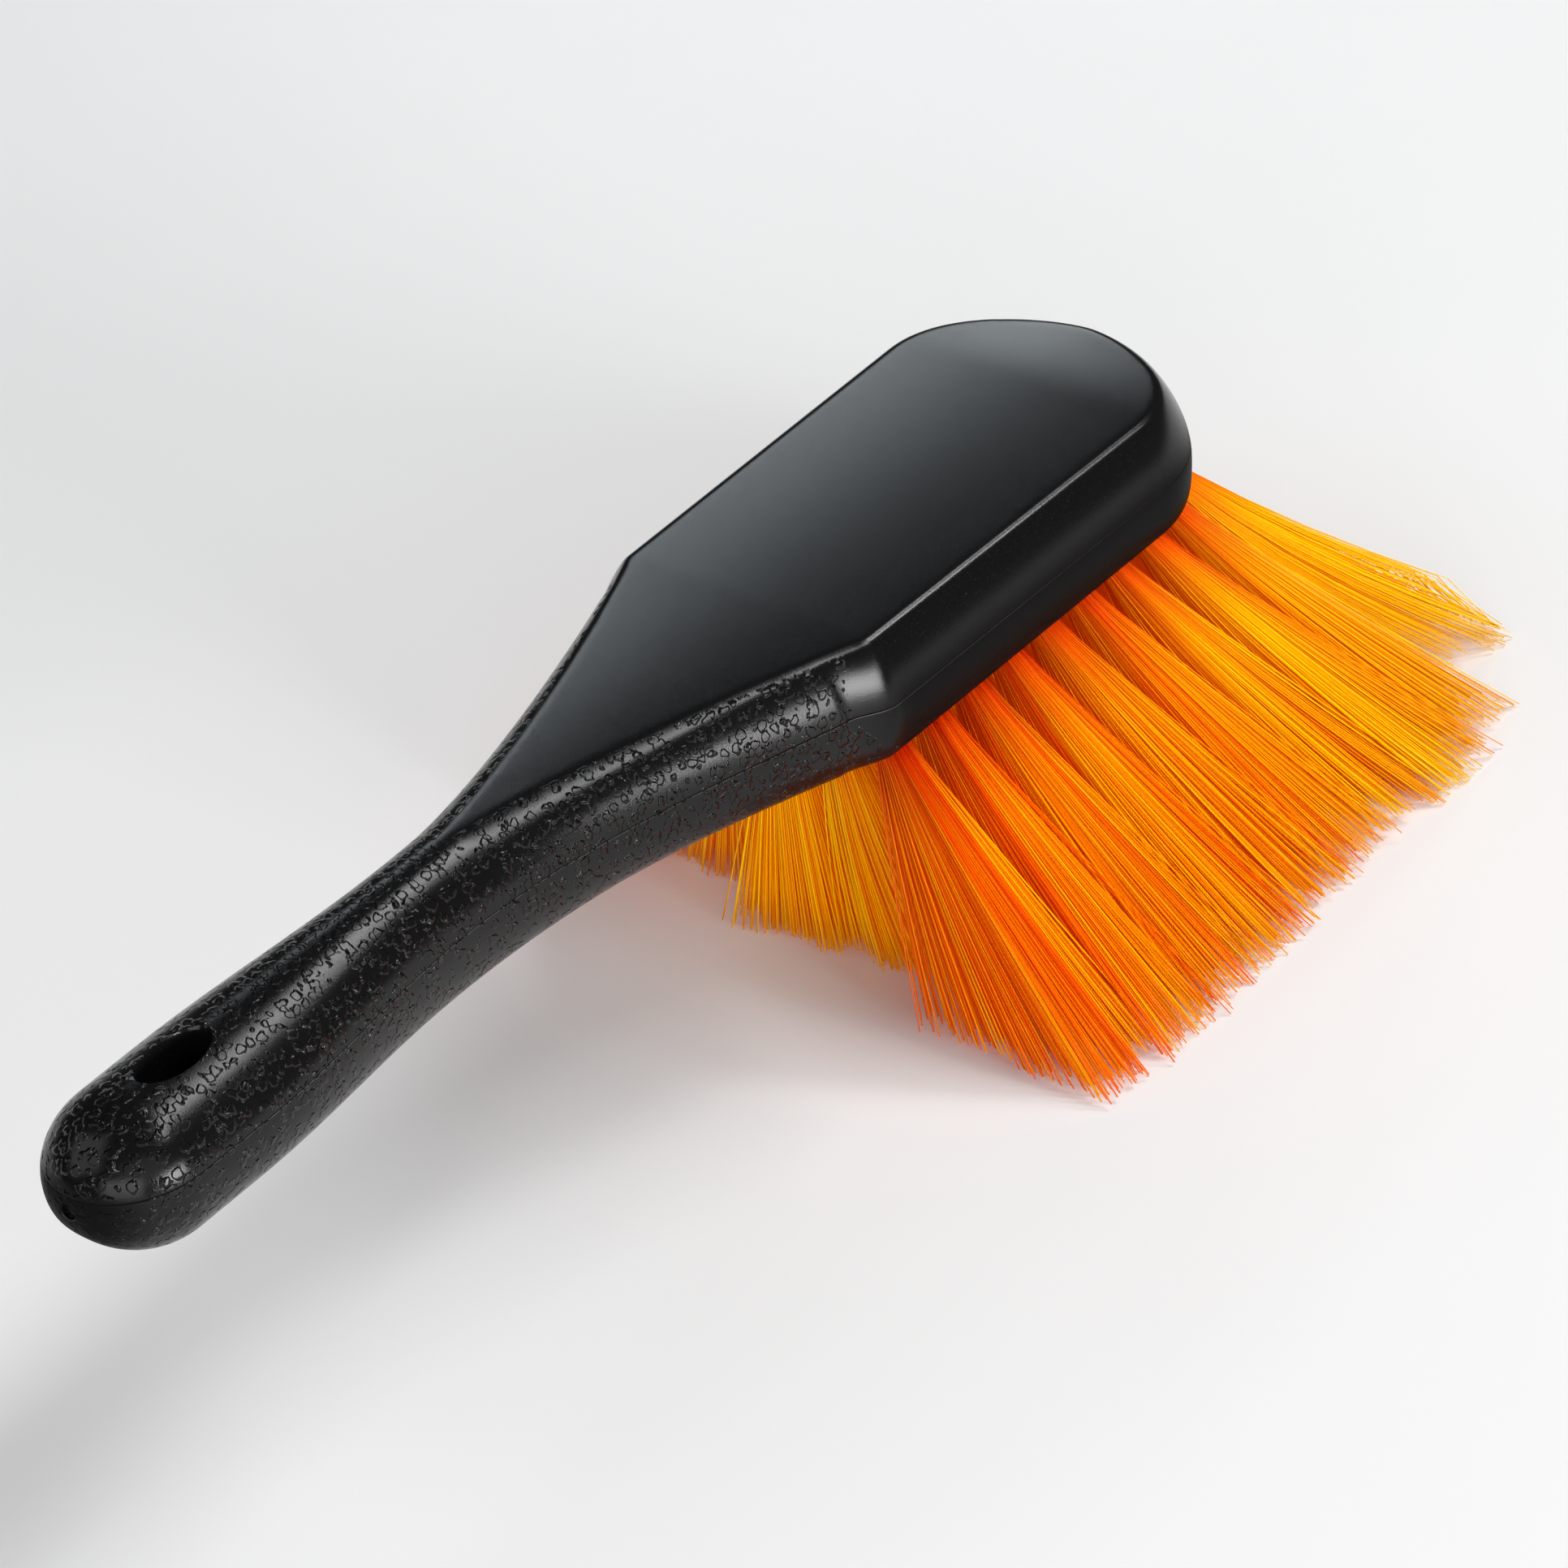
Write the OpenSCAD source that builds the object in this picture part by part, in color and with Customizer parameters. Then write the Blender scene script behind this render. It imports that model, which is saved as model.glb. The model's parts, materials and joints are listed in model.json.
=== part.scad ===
// Wheel brush: a one-piece moulded block with its handle, and tufts of
// filament that flat metal anchors hold in drilled holes in its underside.
// The block runs along +X from the handle's end to the nose, +Y is its left
// side, and its top face is level. The brush stands on its cut bristle tips.

/* [Block] */
// Length of the handle, from its end to the head's shoulders
handle_len = 200.5; // [180:0.5:230]
// Length of the head, from its shoulders to the tip of the nose
head_len = 129.5; // [115:0.5:150]
// Length of the arched nose, part of the head's length
nose_len = 35.3; // [26:0.1:40]
// Width of the head at its shoulders
shoulder_w = 72.8; // [68:0.1:80]
// Width of the head where the nose starts
head_w = 76.6; // [72:0.1:84]
// Height of the head, from its top face to its underside
head_h = 26.7; // [25:0.1:30]
// How far the top face's edge stands in from the head's widest line
top_edge_in = 6.6; // [4:0.1:8]
// How far the underside's edge stands in from the head's widest line
bottom_edge_in = 4.4; // [2:0.1:6]
// Depth of the head's widest line below its top face
head_widest_z = 15.2; // [10:0.1:17]

/* [Handle] */
// Width of the grip at its fullest, near its end
grip_w = 33.2; // [30:0.1:40]
// Distance from the handle's end to the grip's fullest place
grip_x = 34.5; // [28:0.5:44]
// Width of the grip where its rounded end starts to close
grip_end_w = 32.8; // [28:0.1:38]
// Width of the waist, the slimmest place of the handle
waist_w = 24.2; // [22:0.1:30]
// Distance from the handle's end to the waist
waist_x = 95; // [80:1:110]
// Width of the neck where it meets the head's shoulders
neck_w = 64.6; // [58:0.1:67]
// Height of the handle's oval section
handle_h = 29.4; // [26:0.1:31]
// Depth of the handle's top below the head's top face, at its end
handle_drop = 1.2; // [0:0.1:3]
// Length of the rounded end
end_len = 18; // [14:0.5:22]
// Length over which the neck steps out into the shoulders
shoulder_len = 12; // [6:0.5:14]
// Length of the smooth flat tongue that runs from the head into the handle
tongue_len = 98; // [60:1:110]
// Width of the hanging slot
slot_w = 9.2; // [7:0.1:12]
// Length of the hanging slot, from end to end
slot_len = 17.2; // [14:0.1:22]
// Distance from the handle's end to the middle of the hanging slot
slot_x = 30.4; // [26:0.1:40]
// Diameter of the moulding gate's recess in the handle's end
gate_d = 3; // [2:0.1:4]
// Depth of the gate's recess
gate_depth = 0.8; // [0.4:0.1:1.2]

/* [Tufts] */
// Number of tuft columns along the head
columns = 10; // [8:1:11]
// Distance from the shoulders to the first column's holes
rear_margin = 8; // [7:0.5:12]
// Distance from the nose's tip to the last column's holes
front_margin = 8; // [7:0.5:12]
// Distance from the head's side to the outer rows' holes
side_margin = 10.5; // [9:0.1:13]
// Diameter of a tuft's hole
hole_d = 5.2; // [4.6:0.1:5.6]
// Depth of a tuft's hole along its axis
hole_depth = 15; // [12:0.5:16]
// Clearance between a packed tuft and its hole, all round
tuft_clearance = 0.1; // [0.05:0.01:0.2]
// Height of the bristles below the block's underside, once trimmed
bristle_h = 61; // [45:1:70]
// How much longer the bristles' trimmed face is than the drilled field
flare_x = 1.42; // [1.2:0.01:1.6]
// How far the outer rows' tufts lean out at the trimmed face
flare_out = 41; // [20:1:50]
// Half the width of an outer tuft's fan at the trimmed face
outer_fan = 25; // [10:1:28]
// How far the rows next to the middle one lean out at the trimmed face
inner_flare = 15.5; // [0:0.5:18]
// How far the same rows lean forward at the trimmed face
inner_forward = 4; // [0:0.5:6]
// Half the width of the fans of the three inner rows at the trimmed face
inner_fan = 12.5; // [5:0.5:13]
// How far the outer rows' tufts lean back at the trimmed face
flare_back = 5.5; // [0:0.5:10]
// How far the nose's side tufts lean out at the trimmed face
nose_flare = 34; // [15:1:40]
// Half the width of a nose tuft's fan at the trimmed face
nose_fan = 22.5; // [8:0.5:23]
// Share of a tuft's flare that it already has where it leaves its hole
lead = 0.7; // [0.4:0.05:0.75]
// Gap between neighbouring tufts at the trimmed face
tip_gap = 1.5; // [0.5:0.1:4]
// Most that a strand is shorter than the trimmed height
uneven = 4; // [1:0.5:6]

/* [Strands] */
// Number of strands round the middle one of each tuft
ring_strands = 7; // [6:1:7]
// Radius of a strand where it leaves its hole
strand_root_r = 0.55; // [0.4:0.01:0.6]
// Radius of a strand at its tip
strand_tip_r = 0.95; // [0.5:0.01:1.2]

/* [Anchors] */
// Length of an anchor across its tuft's hole
anchor_len = 6.2; // [5.8:0.1:6.6]
// Thickness of an anchor
anchor_t = 0.4; // [0.3:0.05:0.6]
// Height of an anchor along its tuft's hole
anchor_h = 2.4; // [1.8:0.1:3]
// Depth of filament folded over an anchor, between it and the hole's floor
fold_depth = 0.8; // [0.6:0.1:1.5]
// Clearance round an anchor, in the block and in its tuft
anchor_clearance = 0.05; // [0.02:0.01:0.1]

/* [Hidden] */
$fn = 32;
EPS = 0.01;
block_len = handle_len + head_len;
nose_x = block_len - nose_len;
neck_x = handle_len - shoulder_len;
handle_mid_z = -handle_drop - handle_h / 2;
handle_base_z = -handle_drop - handle_h;
underside_z = -head_h;
stand_h = head_h + bristle_h;

// Shape constants of the block's sections and outlines
NECK_SWEEP = 98;           // part of a cosine wave, in degrees, that the neck's flare follows
TONGUE_POWER = 1.35;       // how the tongue narrows towards its tip
TONGUE_TIP_W = 0.6;        // half width that the flat strip along the handle keeps
TOP_ROUND = [1.9, 1.9];    // exponents, outwards and upwards, above the handle's widest line
EDGE_ROUND = [1.2, 1.6];   // the same on the head: a tight edge, then a nearly straight side
GRIP_ROUND = 2.4;          // exponent of the sections below the handle's widest line
HEAD_ROUND = 3.4;          // the same on the head
NOSE_POWER = 2.13;         // exponents of the nose's arch
NOSE_ARCH = 1.67;
BLEND_LEN = 70;            // length over which the handle's section turns into the head's

// Numbers of rings and points in the block's surface
END_RINGS = 6;
HANDLE_RINGS = 20;
SHOULDER_RINGS = 5;
HEAD_RINGS = 4;
NOSE_STEPS = 14;
ARC_STEPS = 7;

ROWS = 5;              // tuft rows across the head
MID_ROW = 3;
NOSE_ROWS = [2, 3, 4]; // the rows that reach the last column
PHASE = 137.5;         // turn of each tuft's ring of strands from the next, in degrees
STRAND_SIDES = 3;
STRAND_RINGS = 3;
STRAND_ROOT = 1.5;     // how far a strand starts inside its packed tuft

function mix(a, b, t) = a + (b - a) * t;
function clamp(t) = min(1, max(0, t));
function ease(t) = let (c = clamp(t)) c * c * (3 - 2 * c);
function wave(t) = (1 - cos(180 * clamp(t))) / 2;
function last(list) = list[len(list) - 1];

// --- The block's shape ---

// Half the width of the handle at x, without its rounded end
function handle_half_w(x) =
    x < grip_x ? mix(grip_end_w, grip_w, ease(x / grip_x)) / 2
    : x < waist_x ? mix(grip_w, waist_w, wave((x - grip_x) / (waist_x - grip_x))) / 2
    : let (t = (x - waist_x) / (neck_x - waist_x))
        mix(waist_w, neck_w, (1 - cos(NECK_SWEEP * t)) / (1 - cos(NECK_SWEEP))) / 2;

// Half the block's width at x, up to where the nose starts
function half_w(x) =
    x < neck_x ? handle_half_w(x)
    : x < handle_len ? mix(neck_w, shoulder_w, ease((x - neck_x) / shoulder_len)) / 2
    : mix(shoulder_w, head_w, (x - handle_len) / (nose_x - handle_len)) / 2;

// Half the head's width at x, nose included
function head_half_w(x) =
    x < nose_x ? half_w(x)
    : head_w / 2 * pow(1 - pow(min(1, (x - nose_x) / nose_len), NOSE_POWER), 1 / NOSE_ARCH);

// How far the handle's end has closed at x: 0 at its tip, 1 past the rounded end
function end_close(x) = x < end_len ? sqrt(1 - pow(1 - x / end_len, 2)) : 1;

// How far the handle's section has turned into the head's at x
function head_share(x) = ease((x - handle_len + BLEND_LEN) / BLEND_LEN);

// Half the width of the flat top at x
function flat_half_w(x) =
    x < handle_len
    ? max(TONGUE_TIP_W, (shoulder_w / 2 - top_edge_in)
        * pow(clamp(1 - (handle_len - x) / tongue_len), TONGUE_POWER))
    : half_w(x) - top_edge_in;

// One side of a section, from the middle of the top to the middle of the bottom,
// as [distance out, height]: w, flat and base are the half widths of the widest
// line, the flat top and the flat base
function half_section(w, flat, base, top_z, widest_z, base_z, top_round, base_round) = concat(
    [[0, top_z], [flat, top_z]],
    [for (i = [1:ARC_STEPS]) let (a = 90 * i / ARC_STEPS)
        [flat + (w - flat) * pow(sin(a), 2 / top_round.x),
         widest_z + (top_z - widest_z) * pow(cos(a), 2 / top_round.y)]],
    [for (i = [1:ARC_STEPS]) let (a = 90 * i / ARC_STEPS)
        [base + (w - base) * pow(cos(a), 2 / base_round),
         widest_z + (base_z - widest_z) * pow(sin(a), 2 / base_round)]],
    [[0, base_z]]);

HALF_POINTS = 2 * ARC_STEPS + 2; // index of a half section's last point
RING_POINTS = 2 * HALF_POINTS;

// The half section of the block at x
function block_section(x) =
    let (c = end_close(x), s = head_share(x), w = half_w(x))
    half_section(
        w * c,
        flat_half_w(x) * c,
        mix(TONGUE_TIP_W, w - bottom_edge_in, s) * c,
        mix(handle_mid_z, -handle_drop * clamp(1 - x / handle_len), c),
        mix(handle_mid_z, -head_widest_z, s),
        mix(mix(handle_mid_z, handle_base_z, c), underside_z, s),
        mix(TOP_ROUND, EDGE_ROUND, s),
        mix(GRIP_ROUND, HEAD_ROUND, s));

// A closed ring round the block at x: down its right side and up its left
function block_ring(x) =
    let (half = block_section(x))
    concat(
        [for (j = [0:HALF_POINTS]) [x, -half[j][0], half[j][1]]],
        [for (j = [HALF_POINTS - 1:-1:1]) [x, half[j][0], half[j][1]]]);

ring_x = concat(
    [for (i = [1:END_RINGS]) end_len * (1 - cos(90 * i / END_RINGS))],
    [for (i = [1:HANDLE_RINGS]) mix(end_len, neck_x, i / HANDLE_RINGS)],
    [for (i = [1:SHOULDER_RINGS]) mix(neck_x, handle_len, i / SHOULDER_RINGS)],
    [for (i = [1:HEAD_RINGS]) mix(handle_len, nose_x, i / HEAD_RINGS)]);

// The nose's half section at step k of its sweep from the right side to the left
function nose_section(k) =
    let (a = 180 * k / NOSE_STEPS - 90,
         u = cos(a),
         out = [nose_len * u, sign(a) * head_w / 2 * pow(1 - pow(u, NOSE_POWER), 1 / NOSE_ARCH)],
         reach = norm(out),
         half = half_section(reach, reach - top_edge_in, reach - bottom_edge_in,
             0, -head_widest_z, underside_z, EDGE_ROUND, HEAD_ROUND))
    [for (j = [1:HALF_POINTS - 1])
        [nose_x + out.x / reach * half[j][0], out.y / reach * half[j][0], half[j][1]]];

nose_base = 1 + len(ring_x) * RING_POINTS;
last_ring = nose_base - RING_POINTS;

// Index of point j of the nose's half section k: its ends lie on the last ring
function nose_index(k, j) =
    j == 0 ? last_ring
    : j == HALF_POINTS ? last_ring + HALF_POINTS
    : k == 0 ? last_ring + j
    : k == NOSE_STEPS ? last_ring + RING_POINTS - j
    : nose_base + (k - 1) * (HALF_POINTS - 1) + j - 1;

module block_body() {
    points = concat(
        [[0, 0, handle_mid_z]],
        [for (x = ring_x) each block_ring(x)],
        [for (k = [1:NOSE_STEPS - 1]) each nose_section(k)]);
    end_faces = [for (j = [0:RING_POINTS - 1]) [0, 1 + j, 1 + (j + 1) % RING_POINTS]];
    side_faces = [for (i = [0:len(ring_x) - 2]) for (j = [0:RING_POINTS - 1])
        let (a = 1 + i * RING_POINTS + j,
             d = 1 + i * RING_POINTS + (j + 1) % RING_POINTS,
             b = a + RING_POINTS,
             c = d + RING_POINTS)
        each [[a, b, c], [a, c, d]]];
    nose_faces = [for (k = [0:NOSE_STEPS - 1]) for (j = [0:HALF_POINTS - 1])
        let (a = nose_index(k, j), b = nose_index(k + 1, j),
             c = nose_index(k + 1, j + 1), d = nose_index(k, j + 1))
        each concat(j < HALF_POINTS - 1 ? [[a, c, d]] : [], j > 0 ? [[a, b, c]] : [])];
    polyhedron(points, concat(end_faces, side_faces, nose_faces));
}

// --- The tufts' places ---

function column_x(c) =
    mix(handle_len + rear_margin, block_len - front_margin, (c - 1) / (columns - 1));
column_pitch = column_x(2) - column_x(1);

// Rows that a column has, and the distance between them
function column_rows(c) = c < columns ? [1:ROWS] : NOSE_ROWS;
function row_pitch(c) =
    (head_half_w(column_x(c)) - side_margin) / (c < columns ? (ROWS - 1) / 2 : 1);
function root(t) = [column_x(t[1]), (t[0] - MID_ROW) * row_pitch(t[1])];

// Every tuft, as [row, column]; row 1 is on the right
TUFTS = [for (c = [1:columns]) for (r = column_rows(c)) [r, c]];
function tuft_name(t) = str("tuft_row", t[0], "_", t[1]);
function anchors_name(r) = str("anchors_row", r);

// How far a tuft has flared at h below the underside: 0 there, 1 at the trimmed face
function flared(h) = let (t = h / bristle_h) t < 0 ? lead * t : lead * t + (1 - lead) * t * t;

function is_outer(t) = t[0] == 1 || t[0] == ROWS;
function is_nose(t) = t[1] == columns;

// Where a tuft's middle is at the trimmed face: the rearmost middle tuft is upright
function tip_mid(t) =
    let (p = root(t), rear_x = column_x(1))
    [rear_x + flare_x * (p.x - rear_x)
         + (is_outer(t) ? -flare_back : t[0] == MID_ROW ? 0 : inner_forward),
     p.y + sign(t[0] - MID_ROW) * (is_outer(t) ? flare_out : is_nose(t) ? nose_flare : inner_flare)];

// Half widths of the patch that a tuft's strands fill at the trimmed face
function tip_patch(t) =
    let (edge = tip_gap / 2 + strand_tip_r)
    [column_pitch * flare_x / 2 - edge,
     is_outer(t) ? outer_fan : is_nose(t) ? nose_fan : inner_fan];

// What one whole flare adds to the place of a tuft's middle
function flare_vec(t) = tip_mid(t) - root(t);

// The tuft's middle at h below the underside
function tuft_at(t, h) = root(t) + flared(h) * flare_vec(t);

// Moves its children from the underside's origin to a tuft's hole, tilted with it,
// with +Z up the hole, and X along the block
module at_hole(t) {
    p = root(t);
    lean = flare_vec(t) * lead / bristle_h;
    turn = atan2(lean.y, lean.x);
    translate([p.x, p.y, underside_z])
        rotate([0, -atan(norm(lean)), turn])
            rotate([0, 0, -turn])
                children();
}

// --- Strands ---

strand_ring_r = hole_d / 2 - tuft_clearance - strand_root_r - 0.2;

// Half widths of the patch that a tuft's strands fill at h below the underside
function patch(t, h) =
    let (f = clamp(flared(h)), full = tip_patch(t))
    [mix(strand_ring_r, full.x, f), mix(strand_ring_r, full.y, f)];

// A tuft's side of the brush, and how many rows it is from the middle: the left
// side mirrors the right
function side(t) = t[0] < MID_ROW ? -1 : 1;
function rows_out(t) = abs(t[0] - MID_ROW);

// How much shorter strand s of a tuft is than the trimmed height
function shortfall(t, s) = s == 0 ? 0 : uneven * ((s * 7 + rows_out(t) * 5 + t[1] * 3) % 8) / 8;

function strand_heights(t, s) =
    [for (k = [0:STRAND_RINGS])
        k == 0 ? -STRAND_ROOT : (bristle_h - shortfall(t, s)) * k / STRAND_RINGS];

function strand_ring(t, s, h) =
    let (a = side(t) * (PHASE * (rows_out(t) + t[1] * ROWS) + 360 * s / ring_strands),
         size = patch(t, h),
         off = s == 0 ? [0, 0] : [size.x * cos(a), size.y * sin(a)],
         p = tuft_at(t, h) + off,
         r = mix(strand_root_r, strand_tip_r, clamp(h / bristle_h)))
    [for (i = [0:STRAND_SIDES - 1]) let (b = a + 360 * i / STRAND_SIDES)
        [p.x + r * cos(b), p.y + r * sin(b), underside_z - h]];

module strand(t, s) {
    n = STRAND_SIDES;
    heights = strand_heights(t, s);
    points = [for (h = heights) each strand_ring(t, s, h)];
    sides = [for (k = [0:STRAND_RINGS - 1]) for (i = [0:n - 1])
        let (a = k * n + i, b = k * n + (i + 1) % n)
        each [[a, b, b + n], [a, b + n, a + n]]];
    ends = [[for (i = [n - 1:-1:0]) i], [for (i = [0:n - 1]) STRAND_RINGS * n + i]];
    polyhedron(points, concat(sides, ends));
}

// The reach of the strands' tips towards the nose, which sets the brush's middle
tip_points = [for (t = TUFTS) for (s = [0:ring_strands])
    each strand_ring(t, s, last(strand_heights(t, s)))];
front_x = max([for (p = tip_points) p.x]);

// --- Sub-parts ---

// Moves the brush so that it stands on z = 0 with the middle of its length at x = 0
module standing() {
    translate([-front_x / 2, 0, stand_h]) children();
}

// The anchor's plate in its hole, grown by a clearance
module anchor_plate(grow) {
    translate([0, 0, hole_depth - fold_depth - anchor_h / 2])
        cube([anchor_len + 2 * grow, anchor_t + 2 * grow, anchor_h + 2 * grow], center = true);
}

module hanging_slot() {
    half = (slot_len - slot_w) / 2;
    translate([slot_x, 0, handle_base_z - 1]) {
        for (side = [-1, 1])
            translate([side * half, 0, 0]) cylinder(h = handle_h + handle_drop + 2, d = slot_w);
        translate([-half, -slot_w / 2, 0]) cube([2 * half, slot_w, handle_h + handle_drop + 2]);
    }
}

module brush_block() {
    color([0.07, 0.07, 0.08])
    standing()
    difference() {
        block_body();
        hanging_slot();
        translate([-EPS, 0, handle_mid_z])
            rotate([0, 90, 0]) cylinder(h = gate_depth + EPS, d = gate_d);
        for (t = TUFTS) at_hole(t) {
            translate([0, 0, -hole_d]) cylinder(h = hole_depth + hole_d, d = hole_d);
            anchor_plate(anchor_clearance);
        }
    }
}

// Filaments folded over their anchor and packed in their hole, cut level with the
// underside, and the strands that stand out of it
module tuft(t) {
    r = hole_d / 2 - tuft_clearance;
    color([1, 0.55, 0.05])
    standing() {
        difference() {
            intersection() {
                at_hole(t)
                    translate([0, 0, -hole_d]) cylinder(h = hole_depth + hole_d - tuft_clearance, r = r);
                translate([0, -head_w, underside_z]) cube([2 * block_len, 2 * head_w, head_h]);
            }
            at_hole(t) anchor_plate(anchor_clearance);
        }
        for (s = [0:ring_strands]) strand(t, s);
    }
}

module anchors(r) {
    color([0.75, 0.72, 0.62])
    standing()
    for (t = TUFTS) if (t[0] == r) at_hole(t) anchor_plate(0);
}

brush_block();
for (t = TUFTS) tuft(t);
for (r = [1:ROWS]) anchors(r);
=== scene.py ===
import json
import math

import bmesh
import bpy
import numpy as np
from mathutils import Matrix, Vector

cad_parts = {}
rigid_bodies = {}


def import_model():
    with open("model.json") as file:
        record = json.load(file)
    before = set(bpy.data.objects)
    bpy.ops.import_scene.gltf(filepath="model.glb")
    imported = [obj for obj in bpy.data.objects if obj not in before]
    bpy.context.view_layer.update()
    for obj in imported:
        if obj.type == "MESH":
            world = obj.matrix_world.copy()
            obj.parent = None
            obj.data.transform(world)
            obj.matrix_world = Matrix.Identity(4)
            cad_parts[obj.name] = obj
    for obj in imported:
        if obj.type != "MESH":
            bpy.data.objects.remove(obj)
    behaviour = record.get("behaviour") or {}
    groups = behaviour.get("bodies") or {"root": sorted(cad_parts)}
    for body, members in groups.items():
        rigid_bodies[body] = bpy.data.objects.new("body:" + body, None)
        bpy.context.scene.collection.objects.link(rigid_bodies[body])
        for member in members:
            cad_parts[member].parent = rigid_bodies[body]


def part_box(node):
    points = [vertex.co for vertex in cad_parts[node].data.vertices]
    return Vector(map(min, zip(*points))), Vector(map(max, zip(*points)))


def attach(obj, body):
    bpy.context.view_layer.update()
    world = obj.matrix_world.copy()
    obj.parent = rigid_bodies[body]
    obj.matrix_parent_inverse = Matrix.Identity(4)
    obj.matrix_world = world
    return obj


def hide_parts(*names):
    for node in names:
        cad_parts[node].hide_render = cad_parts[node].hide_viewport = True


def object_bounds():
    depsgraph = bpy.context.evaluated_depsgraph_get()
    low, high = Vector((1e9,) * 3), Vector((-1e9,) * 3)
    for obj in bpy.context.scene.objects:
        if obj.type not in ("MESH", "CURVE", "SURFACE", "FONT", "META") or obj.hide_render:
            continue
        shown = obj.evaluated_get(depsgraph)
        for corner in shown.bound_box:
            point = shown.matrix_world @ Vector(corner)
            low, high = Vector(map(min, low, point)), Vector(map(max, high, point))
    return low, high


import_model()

cad_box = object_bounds()
MM = 0.001

# --- Camera -------------------------------------------------------------------
# A long lens looks down on the brush from beyond the handle's end, on the right
# side, so that the grip comes forward and the nose goes back. Its place is given
# from the block: x from the handle's end, z from the top face of the head.
block_low, block_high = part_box("brush_block")
BLOCK_ORIGIN = Vector((block_low.x, 0, block_high.z))
CAMERA_PLACE = Vector((-439.14, -526.72, 539.52)) * MM
CAMERA_RIGHT = Vector((0.5933955, -0.8022160, -0.0658128))
CAMERA_DOWN = Vector((-0.4972068, -0.3010236, -0.8137384))
CAMERA_AHEAD = Vector((0.6329827, 0.5155913, -0.5774933))
camera_data = bpy.data.cameras.new("camera")
camera_data.lens, camera_data.sensor_width = 114.12, 36
camera_data.clip_start, camera_data.clip_end = 0.05, 50
camera = bpy.data.objects.new("camera", camera_data)
bpy.context.scene.collection.objects.link(camera)
camera.matrix_world = Matrix.Translation(BLOCK_ORIGIN + CAMERA_PLACE) @ Matrix(
    (CAMERA_RIGHT, -CAMERA_DOWN, -CAMERA_AHEAD)).transposed().to_4x4()
bpy.context.scene.camera = camera

# --- Brush block ----------------------------------------------------------------
# One moulding of dense foamed plastic: head, neck and handle, with the tufts' holes
# drilled in its underside. The head and the tongue that runs into the handle are satin
# smooth, the rest of the handle has a pebble grain, and a parting line runs round it.
HANDLE_LEN, HEAD_LEN, NOSE_LEN = 200.5, 129.5, 35.3
BLOCK_LEN = HANDLE_LEN + HEAD_LEN
NOSE_X = BLOCK_LEN - NOSE_LEN
SHOULDER_W, HEAD_W, HEAD_H = 72.8, 76.6, 26.7
TOP_EDGE_IN, BOTTOM_EDGE_IN, HEAD_WIDEST_Z = 6.6, 4.4, -15.2
GRIP_W, GRIP_X, GRIP_END_W = 33.2, 34.5, 32.8
WAIST_W, WAIST_X, NECK_W, NECK_SWEEP = 24.2, 95, 64.6, math.radians(98)
HANDLE_H, HANDLE_DROP, END_LEN, SHOULDER_LEN = 29.4, 1.2, 18, 12
HANDLE_MID_Z, HANDLE_BASE_Z = -HANDLE_DROP - HANDLE_H / 2, -HANDLE_DROP - HANDLE_H
NECK_X = HANDLE_LEN - SHOULDER_LEN
TONGUE_LEN, TONGUE_POWER, TONGUE_TIP_W = 98, 1.35, 0.6
TOP_ROUND, EDGE_ROUND = (1.9, 1.9), (1.2, 1.6)
GRIP_ROUND, HEAD_ROUND = 2.4, 3.4
NOSE_POWER, NOSE_ARCH, BLEND_LEN = 2.13, 1.67, 70
CROWN = 0.35            # fall of the top face from its middle to its edges
NOSE_FALL = 0.5         # fall of the nose's top from its start to its tip
FALL_START, FALL_FADE = 3, 12
EDGE_SOFT = 2.2         # length over which each edge is rounded
SLOT_W, SLOT_LEN, SLOT_X = 9.2, 17.2, 30.4
GATE_D, GATE_DEPTH = 3, 0.8
PARTING_Z, PARTING_RISE = -12.6, 0.9


def mix(a, b, t):
    return a + (b - a) * t


def ease(t):
    t = np.clip(t, 0, 1)
    return t * t * (3 - 2 * t)


def half_width(x):
    """Half the block's width at x, up to where the nose starts."""
    flare = (1 - np.cos(NECK_SWEEP * (x - WAIST_X) / (NECK_X - WAIST_X))) / (1 - math.cos(NECK_SWEEP))
    return np.select(
        [x < GRIP_X, x < WAIST_X, x < NECK_X, x < HANDLE_LEN],
        [mix(GRIP_END_W, GRIP_W, ease(x / GRIP_X)),
         mix(GRIP_W, WAIST_W, (1 - np.cos(np.pi * (x - GRIP_X) / (WAIST_X - GRIP_X))) / 2),
         mix(WAIST_W, NECK_W, flare),
         mix(NECK_W, SHOULDER_W, ease((x - NECK_X) / SHOULDER_LEN))],
        mix(SHOULDER_W, HEAD_W, (x - HANDLE_LEN) / (NOSE_X - HANDLE_LEN))) / 2


def tongue_half_width(x):
    return (SHOULDER_W / 2 - TOP_EDGE_IN) * np.clip(
        1 - (HANDLE_LEN - x) / TONGUE_LEN, 0, 1) ** TONGUE_POWER


def flat_half_width(x):
    return np.where(x < HANDLE_LEN, np.maximum(TONGUE_TIP_W, tongue_half_width(x)),
                    half_width(x) - TOP_EDGE_IN)


def end_close(x):
    return np.where(x < END_LEN, np.sqrt(np.clip(1 - (1 - x / END_LEN) ** 2, 0, 1)), 1)


def running_mean(line, sign, span):
    """Softens a line of a half section, which goes on past its ends mirrored with a sign."""
    line = np.concatenate([sign * line[span:0:-1], line, sign * line[-2:-span - 2:-1]])
    sums = np.concatenate([[0], np.cumsum(line)])
    return (sums[2 * span + 1:] - sums[:-2 * span - 1]) / (2 * span + 1)


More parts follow.
